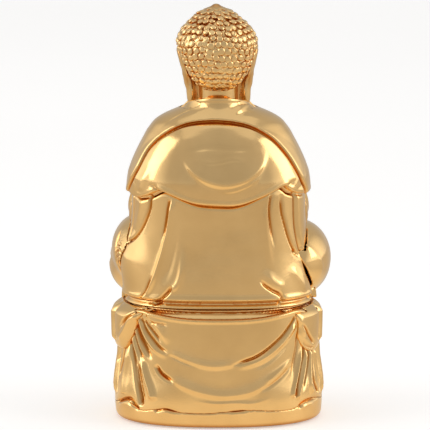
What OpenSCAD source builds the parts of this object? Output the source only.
// Seated Buddha statue on a cloth-draped oval throne, built from hollow castings.
// The figure faces -Y and its left hand side is +X. The origin is on the floor under the middle.

/* [Statue] */
// Height of the whole statue, from the floor to the crown of the head
statue_h = 150; // [140:1:170]
// Wall of the hollow castings
wall = 2.2; // [1.8:0.1:2.6]
// Gap left between castings where they meet
fit_gap = 0.15; // [0.1:0.05:0.3]

/* [Throne] */
// Height of the throne's rim above the floor, on a statue 150 mm tall
rim_z = 40; // [38:0.5:42]
// Height of the plinth under the draped cloth, on a statue 150 mm tall
plinth_h = 8; // [7:0.5:9]

/* [Fasteners] */
// Diameter of the stud that ties the figure to the throne
stud_d = 4; // [3:0.5:5]
// Diameter of the screws that hold the closing plate
screw_d = 2.5; // [2:0.5:3]

/* [Hidden] */

gold = [0.83, 0.62, 0.28];
brass = [0.72, 0.60, 0.32];
steel = [0.62, 0.63, 0.66];
felt = [0.10, 0.26, 0.17];

// Every table below is for a statue 150 mm tall, and k brings it to the height asked for.
k = statue_h / 150;
ring_steps = 40;
seat_ledge_z = rim_z - 1;
mat_top_z = rim_z + 2.6;
figure_z = mat_top_z + 0.1;
collar_z = 117;
bore_gap = 0.05;

// Rows of [z, half width, front depth, back depth, squareness], from the bottom up.
PLINTH = [
    [0.8, 34.6, 24.4, 24.4, 2.3], [1.6, 36.2, 25.8, 25.8, 2.3], [4, 37.4, 26.8, 26.8, 2.3],
    [6.6, 37.5, 27, 27, 2.3], [plinth_h, 36.8, 26.4, 26.4, 2.3]
];
THRONE = [
    [plinth_h + 0.1, 37.2, 26.8, 26.8, 2.3], [11, 37.3, 26.8, 26.8, 2.3], [16, 36, 26, 26, 2.2],
    [22, 35.2, 25.2, 25.2, 2.2], [30, 35.4, 25.6, 25.8, 2.2], [36, 35.8, 26, 26.2, 2.2],
    [rim_z - 0.6, 35.7, 26, 26, 2.2], [rim_z, 34.8, 25, 25, 2.2], [seat_ledge_z, 33.6, 24, 24, 2.2],
    [seat_ledge_z, 28, 18.6, 18.6, 2.2]
];
FRONT = [
    [42, 28.4, 14.4, 22, 2.4], [50, 27.6, 14, 21.4, 2.4], [60, 27, 13.6, 20.4, 2.4],
    [72, 27, 13.8, 19.8, 2.3], [84, 27.4, 14, 19.8, 2.3], [92, 27.2, 13.8, 18.8, 2.3],
    [99, 24.8, 13, 17, 2.2], [105, 21, 12, 14.6, 2.1], [110, 16.4, 10.8, 12.4, 2],
    [114, 11.8, 10, 10.4, 2], [collar_z, 9.8, 9.6, 9.6, 2]
];
BACK = [
    [42, 34.2, 17, 22.4, 2.4], [46, 34.2, 17, 22.2, 2.4], [52, 33.4, 16, 21.8, 2.4], [63, 32, 15, 21, 2.3],
    [72, 31.3, 15, 20.5, 2.3], [84, 31.1, 15, 20.4, 2.3], [88, 30.8, 15, 20.2, 2.3],
    [92.5, 29.6, 14, 19, 2.3], [99.8, 26.6, 13, 16.8, 2.2], [105, 23.6, 12, 14.6, 2.1],
    [109, 19.8, 11, 12.8, 2], [112, 15.2, 10.4, 11.2, 2], [114, 11.6, 10, 10.4, 2],
    [collar_z, 9.8, 9.6, 9.6, 2]
];
MANTLE = [
    [60, 33, 18.6, 22.8, 2.3], [80, 33.2, 18, 22.6, 2.3], [87, 33, 17.6, 22, 2.3], [92.5, 31.7, 16.8, 21, 2.3],
    [99.8, 28.8, 15.6, 19, 2.2], [105, 25.8, 14.4, 16.8, 2.1], [109, 22, 13.4, 15, 2],
    [112, 17.4, 12.4, 13.4, 2],
    [114, 13.6, 11.8, 12.4, 2], [116, 12, 11.6, 12, 2], [collar_z + 1, 11.6, 11.4, 11.8, 2]
];
LEGS = [
    [42, 37.4, 26, 0, 2.3], [48, 38.8, 26.8, 0, 2.3], [55, 39.7, 26.6, 0, 2.3], [60, 38.8, 25, 0, 2.3],
    [64, 36.6, 22.6, 0, 2.3], [68, 33.6, 20, 0, 2.3]
];
HEAD = [
    [107.5, 7, 7, 7, 2], [118.4, 7, 7, 7, 2], [119.2, 7.4, 11, 7.4, 2], [121, 9, 13.2, 8.4, 2.1],
    [124, 10.6, 14.2, 9.6, 2.1], [129, 11.6, 14.5, 10.6, 2.2], [133.5, 12.1, 14.3, 11.2, 2.2],
    [138, 11.8, 13.4, 11, 2.1], [142, 9.6, 10.6, 8.8, 2], [145, 6, 6.6, 5.8, 2], [147, 2, 2, 2, 2]
];
HAIR = [
    [118, 8.6, 9, 9, 2], [121, 10, 10.6, 10.6, 2.1], [126, 11.8, 12.8, 12.2, 2.1], [131, 13.4, 14.8, 13.2, 2.1],
    [136, 14.6, 15.9, 13.8, 2.1], [138.3, 14.1, 15.5, 13.4, 2.1], [139.8, 13.4, 14.6, 12.8, 2],
    [141.2, 12.4, 13.4, 11.8, 2], [142.3, 11.4, 12.2, 10.8, 2], [144.2, 9.3, 9.8, 9, 2],
    [145.3, 8, 8.4, 7.8, 2], [147.1, 6.1, 6.2, 6, 2],
    [148.6, 4.6, 4.6, 4.6, 2], [149.6, 2.5, 2.5, 2.5, 2], [150, 1, 1, 1, 2]
];

// The left sleeve's section at each angle: [angle, thickness, top]. It goes from the side seam
// round to the wrist, and its underside lies on the legs.
SLEEVE = [
    [-70, 6.6, 70.6], [-66, 7.4, 71.8], [-56, 7.8, 74.2], [-44, 7.2, 77.4], [-30, 6.2, 79.8],
    [-12, 5.4, 83.4], [-1.5, 5, 83.9]
];

function blend(a, b, t) = a + (b - a) * t;
function column(rows, c) = [for (r = rows) [r[0], r[c]]];
function signed_pow(v, p) = sign(v) * pow(abs(v), p);

// The point at an angle on an oval that is deeper in front or behind. 0 is +X and 90 is +Y.
function oval(w, front, back, square_n, a) =
    [w * signed_pow(cos(a), 2 / square_n), (sin(a) > 0 ? back : front) * signed_pow(sin(a), 2 / square_n)];

// The point of a table's surface at a height and an angle, moved in by some distance.
function skin_at(rows, z, a, inset = 0) =
    let (
        w = lookup(z, column(rows, 1)) - inset,
        front = lookup(z, column(rows, 2)) - inset,
        back = lookup(z, column(rows, 3)) - inset,
        p = oval(w, front, back, lookup(z, column(rows, 4)), a)
    ) [p[0] * k, p[1] * k, z * k];

// The ring of one row, moved in and up.
function row_ring(row, inset = 0, lift = 0) = [
    for (j = [0 : ring_steps - 1])
        let (p = oval(row[1] - inset, row[2] - inset, row[3] - inset, row[4], 360 * j / ring_steps))
            [p[0] * k, p[1] * k, (row[0] + lift) * k]
];

function two_triangles(a, b, c, d) = [[a, b, c], [a, c, d]];
function flat(lists) = [for (l = lists) each l];

// A casting between an outer and an inner grid of rings. It goes all the way round, or stops at
// two side walls, and its top is a rim, or is closed as a dome.
module casting(outer, inner, round = true, domed = false) {
    rings = len(outer);
    m = len(outer[0]);
    top = rings - 1;
    last = round ? m - 1 : m - 2;
    function o(i, j) = i * m + j % m;
    function n(i, j) = (rings + i) * m + j % m;
    skins = flat([
        for (i = [0 : top - 1], j = [0 : last]) concat(
            two_triangles(o(i, j), o(i + 1, j), o(i + 1, j + 1), o(i, j + 1)),
            two_triangles(n(i, j), n(i, j + 1), n(i + 1, j + 1), n(i + 1, j))
        )
    ]);
    bottom_rim = flat([for (j = [0 : last]) two_triangles(o(0, j), o(0, j + 1), n(0, j + 1), n(0, j))]);
    top_rim = domed
        ? [[for (j = [m - 1 : -1 : 0]) o(top, j)], [for (j = [0 : m - 1]) n(top, j)]]
        : flat([for (j = [0 : last]) two_triangles(o(top, j + 1), o(top, j), n(top, j), n(top, j + 1))]);
    side_walls = round ? [] : flat([
        for (i = [0 : top - 1]) concat(
            two_triangles(o(i + 1, 0), o(i, 0), n(i, 0), n(i + 1, 0)),
            two_triangles(o(i, m - 1), o(i + 1, m - 1), n(i + 1, m - 1), n(i, m - 1))
        )
    ]);
    faces = concat(skins, bottom_rim, top_rim, side_walls);
    polyhedron(points = concat(flat(outer), flat(inner)), faces = faces);
}

// A solid through a list of closed loops, with a flat cap at each end.
module loft(loops) {
    m = len(loops[0]);
    top = len(loops) - 1;
    skin = flat([
        for (i = [0 : top - 1], j = [0 : m - 1])
            two_triangles(i * m + j, (i + 1) * m + j, (i + 1) * m + (j + 1) % m, i * m + (j + 1) % m)
    ]);
    caps = [[for (j = [0 : m - 1]) j], [for (j = [m - 1 : -1 : 0]) top * m + j]];
    polyhedron(points = flat(loops), faces = concat(skin, caps));
}

// A flat plate with a table row's oval outline.
module oval_plate(row, inset, z0, z1) {
    outline = [
        for (j = [0 : ring_steps - 1])
            oval(row[1] - inset, row[2] - inset, row[3] - inset, row[4], 360 * j / ring_steps) * k
    ];
    translate([0, 0, z0]) linear_extrude(z1 - z0) polygon(outline);
}

module mirrored(flip) {
    if (flip) mirror([1, 0, 0]) children();
    else children();
}

// --- Throne -------------------------------------------------------------------------------

plate_z = 2.2;       // underside of the closing plate
plate_t = 1.2;       // its thickness
ledge_z = plate_z + plate_t + 0.1;
ledge_t = 2.4;
ledge_w = 6;         // how far the ledge reaches in
SCREW_SPOTS = [[28.1, 0] * k, [0, 17.9] * k, [-28.1, 0] * k, [0, -17.9] * k];
PAD_SPOTS = [for (a = [38, 142, 218, 322]) oval(32, 22.3, 22.3, 2.3, a) * k];

module plinth() {
    foot = PLINTH[0];
    skirt = wall + 1.2;
    under = [[0.8, foot[1], foot[2], foot[3], 2.3], [ledge_z / k, foot[1], foot[2], foot[3], 2.3]];
    outer = concat([for (r = PLINTH) row_ring(r)], [row_ring([plinth_h, 31, 21, 21, 2.3])]);
    inner = [
        row_ring(under[0], skirt), row_ring(under[1], skirt), row_ring(under[1], skirt + ledge_w),
        row_ring([(ledge_z + ledge_t) / k, foot[1], foot[2], foot[3], 2.3], skirt + ledge_w),
        row_ring([(ledge_z + ledge_t + 0.6) / k, 29, 19, 19, 2.3]), row_ring([plinth_h, 29, 19, 19, 2.3])
    ];
    color(gold) difference() {
        casting(outer, inner);
        for (p = SCREW_SPOTS) translate([p[0], p[1], ledge_z - 1])
            cylinder(d = screw_d + 2 * bore_gap, h = 12, $fn = 32);
    }
}

module throne_shell() {
    top = len(THRONE) - 1;
    color(gold) casting(
        [for (r = THRONE) row_ring(r)],
        [for (i = [0 : top]) row_ring(THRONE[i], i == top ? 0 : wall, i > 5 ? -wall : 0)]
    );
}

module seat_mat() {
    color(gold) difference() {
        oval_plate([0, 32.8, 23.3, 23.3, 2.2], 0, (seat_ledge_z + 0.05) * k, mat_top_z * k);
        translate([0, 4 * k, 0]) cylinder(d = stud_d + 2 * bore_gap, h = 60 * k, $fn = 48);
    }
}

// The end of the robe that hangs from a knee over the throne's rim.
module robe_flap(flip) {
    // Rows of [height, angle it starts at, angle it stops at, how far it stands proud of the throne].
    rows = [[26, 14, 32, 0.5], [29, 6, 39, 1.4], [34, -4, 45, 2.2], [39, -10, 48, 2.7], [42.4, -12, 47, 2]];
    steps = 14;
    function edge(r, t, out) = skin_at(THRONE, min(r[0], 38), blend(r[1], r[2], t), -out);
    function at_height(p, z) = [p[0], p[1], z * k];
    outer = [for (r = rows) [for (j = [0 : steps]) at_height(edge(r, j / steps, r[3] + 0.3), r[0])]];
    inner = [for (r = rows) [for (j = [0 : steps]) at_height(edge(r, j / steps, 0.15), r[0])]];
    color(gold) mirrored(flip) casting(outer, inner, round = false);
}

module closing_plate() {
    color(gold) difference() {
        oval_plate(PLINTH[0], wall + 1.2 + fit_gap, plate_z, plate_z + plate_t);
        for (p = SCREW_SPOTS) translate([p[0], p[1], 0]) {
            cylinder(d = screw_d + 0.4, h = 10, $fn = 32);
            translate([0, 0, plate_z - 0.01])
                cylinder(d1 = screw_d * 2, d2 = screw_d + 0.4, h = plate_t - 0.1, $fn = 32);
        }
    }
}

module plate_screws() {
    head_h = plate_t - 0.2;
    color(steel) for (p = SCREW_SPOTS) translate([p[0], p[1], plate_z]) difference() {
        union() {
            cylinder(d1 = screw_d * 2 - 0.2, d2 = screw_d, h = head_h, $fn = 32);
            cylinder(d = screw_d, h = plate_t + ledge_t + 1.2, $fn = 32);
        }
        translate([-0.3, -screw_d, -1]) cube([0.6, 2 * screw_d, 1.5]);
    }
}

module felt_pads() {
    color(felt) for (p = PAD_SPOTS) translate([p[0], p[1], 0]) cylinder(d = 5, h = 0.8 * k - 0.02, $fn = 40);
}

// --- Figure -------------------------------------------------------------------------------

BODY_Z = [
    figure_z, 46, 50, 54, 58, 62, 66, 70, 74, 78, 82, 86, 90, 94, 98, 101, 104, 107, 110, 112, 114, 115.6,
    collar_z
];

// A half of the hollow body, from one side seam round to the other.
module body_half(rows, a0, a1) {
    steps = 20;
    function half(inset) = [
        for (z = BODY_Z) [for (j = [0 : steps]) skin_at(rows, z, blend(a0, a1, j / steps), inset)]
    ];
    color(gold) casting(half(0), half(wall), round = false);
}

// The back half is wider, because the backs of the sleeves are part of it.
module back_shell() {
    body_half(BACK, 0.5, 179.5);
}

module front_shell() {
    body_half(FRONT, 180.5, 359.5);
}

// The plate that closes the figure's underside, with the boss that the stud screws into.
module figure_floor() {
    z0 = (figure_z + 0.2) * k;
    color(gold) difference() {
        union() {
            oval_plate([0, 27.6, 14, 21.4, 2.4], wall + fit_gap, z0, z0 + 2);
            translate([0, 4 * k, z0]) cylinder(d = 10, h = 16, $fn = 48);
        }
        translate([0, 4 * k, 0]) cylinder(d = stud_d + 2 * bore_gap, h = z0 + 13, $fn = 48);
    }
}

// The folded legs go round the front of the body between these two angles.
LEG_START = 148;
LEG_END = 392;

// Height of the legs at an angle: knees high at the sides, a flat lap between them.
function leg_top(a) = 61 + 4.5 * pow(abs(cos(a)), 3) - 5 * max(0, sin(a));

// The body's outside at a height and an angle, which widens to the back half just before the seam.
function body_wall(z, a) =
    let (before_seam = min(a - 180, 360 - a), wide = min(1, max(0, (10 - before_seam) / 8)))
    blend(skin_at(FRONT, z, a, -fit_gap), skin_at(BACK, z, a, -fit_gap), wide);

module crossed_legs() {
    steps = 42;
    // How full the legs are: 1 over most of their length, falling to 0.3 where they die into the robe.
    function fullness(a) = let (e = min(1, min(a - LEG_START, LEG_END - a) / 26))
        0.3 + 0.7 * sqrt(1 - (1 - e) * (1 - e));
    function outside(a, z) =
        let (p = oval(lookup(z, column(LEGS, 1)), lookup(z, column(LEGS, 2)), 25, 2.2, a))
        [p[0] * k, p[1] * k, z * k];
    // A loop at one angle: up the outside, over the top and down the inside.
    function loop_at(a) = let (
        f = fullness(a),
        h = blend(figure_z + 2, leg_top(a), min(1, 0.35 + 0.65 * f)),
        wall_top = body_wall(h, a),
        out = [for (t = [0, 0.2, 0.45, 0.7, 0.9])
            let (z = blend(figure_z, h, t)) blend(body_wall(z, a), outside(a, z), f)],
        brow = blend(wall_top, out[4], 0.72)
    ) concat(
        out, [[brow[0], brow[1], h * k]], [[wall_top[0], wall_top[1], (h - 0.6) * k]],
        [body_wall(blend(figure_z, h, 0.45), a)], [body_wall(figure_z, a)]
    );
    color(gold) loft([for (i = [0 : steps]) loop_at(blend(LEG_START, LEG_END, i / steps))]);
}

module sleeve(flip) {
    steps = 26;
    round_steps = 14;
    first = SLEEVE[0][0];
    last = SLEEVE[len(SLEEVE) - 1][0];
    function section(a) = let (
        half_t = lookup(a, column(SLEEVE, 1)) / 2,
        top = lookup(a, column(SLEEVE, 2)),
        bottom = leg_top(a) + 0.3
    ) [
        for (j = [0 : round_steps - 1]) let (
            p = oval(half_t, (top - bottom) / 2, (top - bottom) / 2, 3, 360 * j / round_steps)
        ) skin_at(FRONT, (top + bottom) / 2 + p[1], a, -fit_gap - half_t - p[0])
    ];
    color(gold) mirrored(flip) loft([for (i = [steps : -1 : 0]) section(blend(first, last, i / steps))]);
}

// An open hand lying in the lap: a wrist, a palm, four fingers side by side, and a thumb that
// rises to meet the other thumb.
module hand(flip, lift, thumb_rise) {
    module link(a, ra, b, rb) {
        hull() {
            translate(a * k) sphere(r = ra * k, $fn = 14);
            translate(b * k) sphere(r = rb * k, $fn = 14);
        }
    }
    color(gold) mirrored(flip) translate([0, -20.5 * k, (63.2 + lift) * k]) {
        link([11, 2.6, 1.4], 1.6, [8.2, 0.2, 0.5], 1.6);
        hull() for (p = [[8.4, 1.2], [3.4, 2.6], [3.4, -2.8], [8.2, -1.8]]) {
            translate([p[0] * k, p[1] * k, 0.1 * k]) sphere(r = 1.4 * k, $fn = 14);
        }
        for (f = [0 : 3])
            link([3.4, -2.8 + 1.8 * f, 0], 1, [-4.4 + 0.5 * abs(f - 1.5), -2.7 + 1.7 * f, 0], 0.8);
        link([7.2, -2.4, 0.6], 1.1, [1, -4.7, thumb_rise], 0.8);
    }
}

// Height of the mantle's hem at an angle: a deep swag behind, level sides, lapels in front.
function hem_z(a) = let (off = abs(a - 90))
    off < 48 ? 80.4 + 3.8 * pow(off / 48, 2) : 84.2 - 9 * max(0, off - 100) / 52;

module shoulder_mantle() {
    a0 = -60;
    a1 = 240;
    steps = 46;
    rows = 9;
    thickness = 1.6;
    function sheet(inset) = [
        for (i = [0 : rows]) [
            for (j = [0 : steps]) let (a = blend(a0, a1, j / steps))
                skin_at(MANTLE, blend(hem_z(a), collar_z + 1, pow(i / rows, 0.8)), a, inset)
        ]
    ];
    color(gold) casting(sheet(0), sheet(thickness), round = false);
}

// A long ear: a thick lobe that slants in towards its tip.
module ear() {
    outline = [
        [0, -1.2], [1.4, -2.2], [6, -2.6], [11, -3.4], [16, -4], [19, -3.6], [20.6, -2], [20.4, 0.6],
        [18, 2.4], [13, 2], [6, 1.4], [1.6, 1.2], [0, 0]
    ];
    translate([11.8 * k, 0.6 * k, 115.6 * k]) rotate([4, 8, 0]) rotate([0, -90, 0])
        linear_extrude(2.8 * k) polygon(outline * k);
}

module head() {
    color(gold) union() {
        casting(
            [for (r = HEAD) row_ring(r)],
            [for (r = HEAD) row_ring(r, min(wall, r[1] - 0.6), -wall * (r[0] - 107.5) / 39.5)],
            domed = true
        );
        ear();
        mirror([1, 0, 0]) ear();
    }
}

// Height of the hairline at an angle: low at the nape, over the ears, and high on the brow.
function hairline_z(a) = 130.4 - 9 * sin(a) + 1.6 * cos(2 * a);

module hair_cap() {
    rows = 11;
    // A point of the cap. The inside is the same shape pulled in, and down near the crown.
    function dome_point(a, t, inset) = let (
        z = blend(hairline_z(a), 150, pow(t, 0.85)),
        p = skin_at(HAIR, z, a, inset * (1 - 0.75 * t))
    ) [p[0], p[1], p[2] - inset * t * k];
    function dome(inset) = [
        for (i = [0 : rows]) [for (j = [0 : ring_steps - 1]) dome_point(360 * j / ring_steps, i / rows, inset)]
    ];
    color(gold) casting(dome(0), dome(1.2), domed = true);
}

// --- Fasteners ----------------------------------------------------------------------------

nut_h = 3.2;
washer_t = 1;
under_mat = (seat_ledge_z + 0.05) * k;

// The ring brazed round the neck under the collar, so the head can't be pulled out.
module neck_ring() {
    color(brass) translate([0, 0, 108.2 * k]) difference() {
        cylinder(r = 8.1 * k, h = 1.8 * k, $fn = 48);
        translate([0, 0, -1]) cylinder(r = 7 * k + 0.05, h = 1.8 * k + 2, $fn = 48);
    }
}

module tie_stud() {
    color(steel) translate([0, 4 * k, under_mat - washer_t - nut_h - 2.5])
        cylinder(d = stud_d, h = (figure_z + 0.2) * k + 11 - (under_mat - washer_t - nut_h - 2.5), $fn = 48);
}

module tie_washer() {
    color(steel) translate([0, 4 * k, under_mat - washer_t - 0.02]) difference() {
        cylinder(d = stud_d * 3, h = washer_t, $fn = 48);
        translate([0, 0, -1]) cylinder(d = stud_d + 0.3, h = washer_t + 2, $fn = 48);
    }
}

module tie_nut() {
    color(steel) translate([0, 4 * k, under_mat - washer_t - nut_h - 0.04]) difference() {
        cylinder(d = stud_d * 2, h = nut_h, $fn = 6);
        translate([0, 0, -1]) cylinder(d = stud_d + 2 * bore_gap, h = nut_h + 2, $fn = 48);
    }
}

plinth();
throne_shell();
seat_mat();
robe_flap(false);  // left_robe_flap
robe_flap(true);  // right_robe_flap
figure_floor();
back_shell();
front_shell();
crossed_legs();
sleeve(false);  // left_sleeve
sleeve(true);  // right_sleeve
hand(false, 0, 4.6);  // left_hand
hand(true, 3, 1.6);  // right_hand
shoulder_mantle();
head();
hair_cap();
neck_ring();
tie_stud();
tie_washer();
tie_nut();
closing_plate();
plate_screws();
felt_pads();
